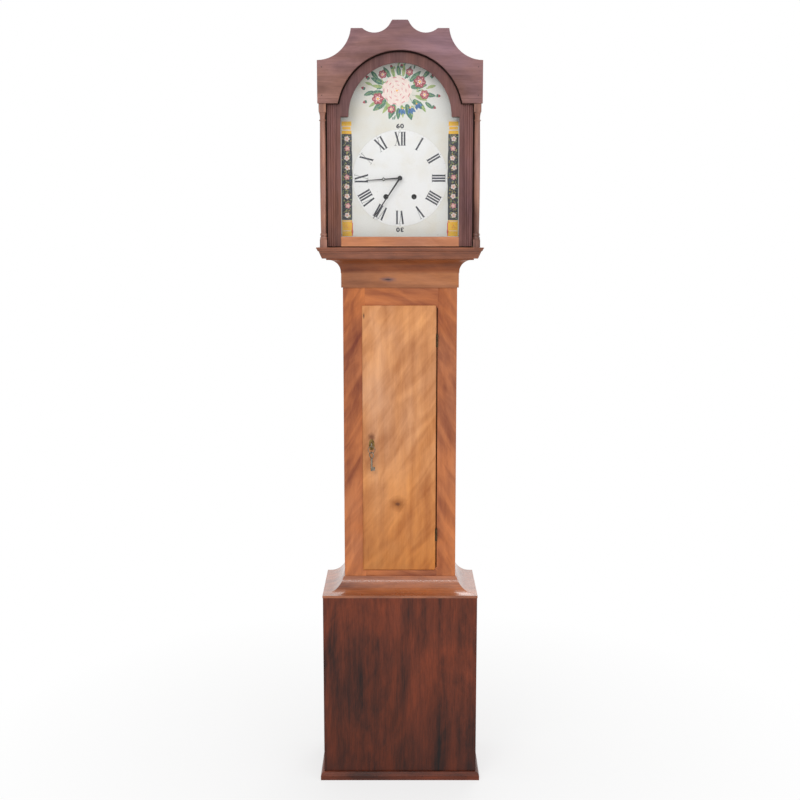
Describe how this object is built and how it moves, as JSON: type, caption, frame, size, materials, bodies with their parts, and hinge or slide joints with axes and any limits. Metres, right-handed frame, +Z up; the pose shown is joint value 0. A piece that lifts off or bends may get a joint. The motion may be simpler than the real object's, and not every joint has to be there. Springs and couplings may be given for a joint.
{
  "type": "longcase clock",
  "caption": "Tall wooden clock case with a scalloped crest, an arched glazed hood door, a painted dial, a lipped trunk door and a weight-driven striking movement.",
  "frame": {"origin": "on the floor, at the centre of the outline in plan", "axes": "+X to the clock's right as seen from the front, +Y to its back, +Z up"},
  "size_m": [0.427, 0.2444, 1.9806],
  "materials": {
    "base_wood": "dark red-brown varnish",
    "moulding_wood": "polished",
    "trunk_wood": "polished figured wood",
    "door_wood": "polished figured wood",
    "hood_wood": "worn varnish",
    "turned_wood": "polished",
    "plain_wood": "bare",
    "dial_paint": "aged paint",
    "glass": "clear",
    "blackened_steel": "blued",
    "brass": "aged",
    "bell_metal": "polished",
    "steel": "worn",
    "iron": "painted",
    "line": "gut"
  },
  "bodies": {
    "case": {"base_front_panel": "base_wood", "base_carcase": "base_wood", "base_plinth_strip": "base_wood", "shoulder_moulding": "moulding_wood", "backboard": "plain_wood", "trunk_sides": "trunk_wood", "trunk_stiles": "trunk_wood", "trunk_rails": "trunk_wood", "throat_moulding": "moulding_wood", "seatboard": "plain_wood", "trunk_hinge_frame_leaves": "brass", "movement_plates": "brass", "back_cock": "brass", "bell": "bell_metal", "dial": "dial_paint", "going_line_rising": "line", "going_line_fixed": "line", "strike_line_rising": "line", "strike_line_fixed": "line"},
    "hood": {"hood_base_frame": "moulding_wood", "hood_base_moulding": "moulding_wood", "hood_sides": "hood_wood", "hood_mask": "plain_wood", "hood_roof": "plain_wood", "crest_board": "hood_wood", "hood_columns": "turned_wood"},
    "hood_door": {"hood_door_stiles": "hood_wood", "hood_door_bottom_rail": "turned_wood", "hood_door_arch": "hood_wood", "hood_door_glass": "glass", "hood_door_straps": "brass"},
    "trunk_door": {"trunk_door": "door_wood", "escutcheon": "brass", "lock_case": "steel", "trunk_hinge_door_leaves": "brass"},
    "lock_bolt": {"lock_bolt": "steel"},
    "key": {"key": "steel"},
    "key_ring": {"key_ring": "steel"},
    "minute_hand": {"minute_hand": "blackened_steel", "cannon_wheel": "brass"},
    "hour_hand": {"hour_hand": "blackened_steel", "hour_wheel": "brass"},
    "minute_arbor": {"minute_arbor": "brass"},
    "third_wheel": {"third_wheel": "brass"},
    "escape_wheel": {"escape_wheel": "brass"},
    "going_great_wheel": {"going_great_wheel": "brass"},
    "going_drum": {"going_drum": "brass"},
    "going_weight": {"going_weight": "iron"},
    "going_sheave": {"going_sheave": "brass"},
    "strike_great_wheel": {"strike_great_wheel": "brass"},
    "strike_drum": {"strike_drum": "brass"},
    "strike_weight": {"strike_weight": "iron"},
    "strike_sheave": {"strike_sheave": "brass"},
    "pin_wheel": {"pin_wheel": "brass"},
    "fly": {"fly": "brass"},
    "hammer": {"hammer": "steel"},
    "pallets": {"pallets": "steel"},
    "pendulum": {"pendulum_rod": "steel", "pendulum_bob": "brass"}
  },
  "joints": [
    {"name": "hood_slide", "type": "slide", "parent": "case", "child": "hood", "axis": [0, -1, 0], "range_m": [0, 0.26]},
    {"name": "hood_door_hinge", "type": "hinge", "parent": "hood", "child": "hood_door", "pos_m": [0.1815, -0.10775, 1.6], "axis": [0, 0, 1], "range_deg": [0, 110]},
    {"name": "trunk_door_hinge", "type": "hinge", "parent": "case", "child": "trunk_door", "pos_m": [0.0965, -0.06005, 0.925], "axis": [0, 0, 1], "range_deg": [0, 120]},
    {"name": "key_turn", "type": "hinge", "parent": "trunk_door", "child": "key", "pos_m": [-0.0746, -0.06275, 0.912], "axis": [0, 1, 0], "range_deg": [0, 90]},
    {"name": "lock_bolt_slide", "type": "slide", "parent": "trunk_door", "child": "lock_bolt", "axis": [-1, 0, 0], "range_m": [0, 0.008]},
    {"name": "key_ring_swing", "type": "hinge", "parent": "key", "child": "key_ring", "pos_m": [-0.0746, -0.07725, 0.9055], "axis": [0, 1, 0], "range_deg": [-30, 30]},
    {"name": "minute_hand_turn", "type": "hinge", "parent": "case", "child": "minute_hand", "pos_m": [0, -0.06275, 1.6004], "axis": [0, 1, 0], "continuous": true},
    {"name": "hour_hand_turn", "type": "hinge", "parent": "case", "child": "hour_hand", "pos_m": [0, -0.06075, 1.6004], "axis": [0, 1, 0], "continuous": true},
    {"name": "minute_arbor_turn", "type": "hinge", "parent": "case", "child": "minute_arbor", "pos_m": [0.01063, -0.01275, 1.58139], "axis": [0, 1, 0], "continuous": true},
    {"name": "third_wheel_turn", "type": "hinge", "parent": "case", "child": "third_wheel", "pos_m": [0.01155, 0.00725, 1.6113], "axis": [0, 1, 0], "continuous": true},
    {"name": "escape_wheel_turn", "type": "hinge", "parent": "case", "child": "escape_wheel", "pos_m": [0, -0.00775, 1.6344], "axis": [0, 1, 0], "continuous": true},
    {"name": "going_great_wheel_turn", "type": "hinge", "parent": "case", "child": "going_great_wheel", "pos_m": [0.036, -0.02175, 1.5538], "axis": [0, 1, 0], "continuous": true},
    {"name": "going_weight_travel", "type": "slide", "parent": "case", "child": "going_weight", "axis": [0, 0, 1], "range_m": [-0.09, 0.95], "deforming": ["going_line_rising", "going_line_fixed"]},
    {"name": "going_drum_turn", "type": "hinge", "parent": "case", "child": "going_drum", "pos_m": [0.036, 0.00225, 1.5538], "axis": [0, 1, 0], "range_deg": [-460, 4790]},
    {"name": "going_sheave_turn", "type": "hinge", "parent": "going_weight", "child": "going_sheave", "pos_m": [0.0342, 0.00225, 0.408], "axis": [0, 1, 0], "range_deg": [-250, 2600]},
    {"name": "strike_weight_travel", "type": "slide", "parent": "case", "child": "strike_weight", "axis": [0, 0, 1], "range_m": [-0.09, 0.95], "deforming": ["strike_line_rising", "strike_line_fixed"]},
    {"name": "strike_drum_turn", "type": "hinge", "parent": "case", "child": "strike_drum", "pos_m": [-0.036, 0.00225, 1.5538], "axis": [0, 1, 0], "range_deg": [-460, 4790]},
    {"name": "strike_sheave_turn", "type": "hinge", "parent": "strike_weight", "child": "strike_sheave", "pos_m": [-0.0378, 0.00225, 0.408], "axis": [0, 1, 0], "range_deg": [-250, 2600]},
    {"name": "pin_wheel_turn", "type": "hinge", "parent": "case", "child": "pin_wheel", "pos_m": [-0.04402, 0.00725, 1.58374], "axis": [0, 1, 0], "continuous": true},
    {"name": "strike_great_wheel_turn", "type": "hinge", "parent": "case", "child": "strike_great_wheel", "pos_m": [-0.036, -0.02175, 1.5538], "axis": [0, 1, 0], "continuous": true},
    {"name": "fly_turn", "type": "hinge", "parent": "case", "child": "fly", "pos_m": [-0.0399, 0.00725, 1.60714], "axis": [0, 1, 0], "continuous": true},
    {"name": "hammer_lift", "type": "hinge", "parent": "case", "child": "hammer", "pos_m": [-0.052, -0.00175, 1.6404], "axis": [0, 1, 0], "range_deg": [-9, 0], "stiffness_Nm_per_rad": 0.06, "springref_deg": 11.46},
    {"name": "pendulum_swing", "type": "hinge", "parent": "case", "child": "pendulum", "pos_m": [0, 0.05525, 1.6624], "axis": [0, 1, 0], "range_deg": [-3, 3]},
    {"name": "pallets_swing", "type": "hinge", "parent": "case", "child": "pallets", "pos_m": [0, 0.00725, 1.6624], "axis": [0, 1, 0], "range_deg": [-3, 3]}
  ],
  "couplings": [
    {"joint": "lock_bolt_slide", "follows": "key_turn", "m_per_rad": 0.00509},
    {"joint": "hour_hand_turn", "follows": "minute_hand_turn", "ratio": 0.083333},
    {"joint": "minute_arbor_turn", "follows": "minute_hand_turn", "ratio": -1},
    {"joint": "going_great_wheel_turn", "follows": "minute_hand_turn", "ratio": 0.083333},
    {"joint": "third_wheel_turn", "follows": "minute_hand_turn", "ratio": 7.5},
    {"joint": "escape_wheel_turn", "follows": "minute_hand_turn", "ratio": -60},
    {"joint": "strike_great_wheel_turn", "follows": "pin_wheel_turn", "ratio": -0.10256},
    {"joint": "fly_turn", "follows": "pin_wheel_turn", "ratio": -10},
    {"joint": "pallets_swing", "follows": "pendulum_swing", "ratio": 1},
    {"joint": "going_drum_turn", "follows": "going_weight_travel", "rad_per_m": 87.719},
    {"joint": "going_sheave_turn", "follows": "going_weight_travel", "rad_per_m": 47.619},
    {"joint": "strike_drum_turn", "follows": "strike_weight_travel", "rad_per_m": 87.719},
    {"joint": "strike_sheave_turn", "follows": "strike_weight_travel", "rad_per_m": 47.619}
  ]
}
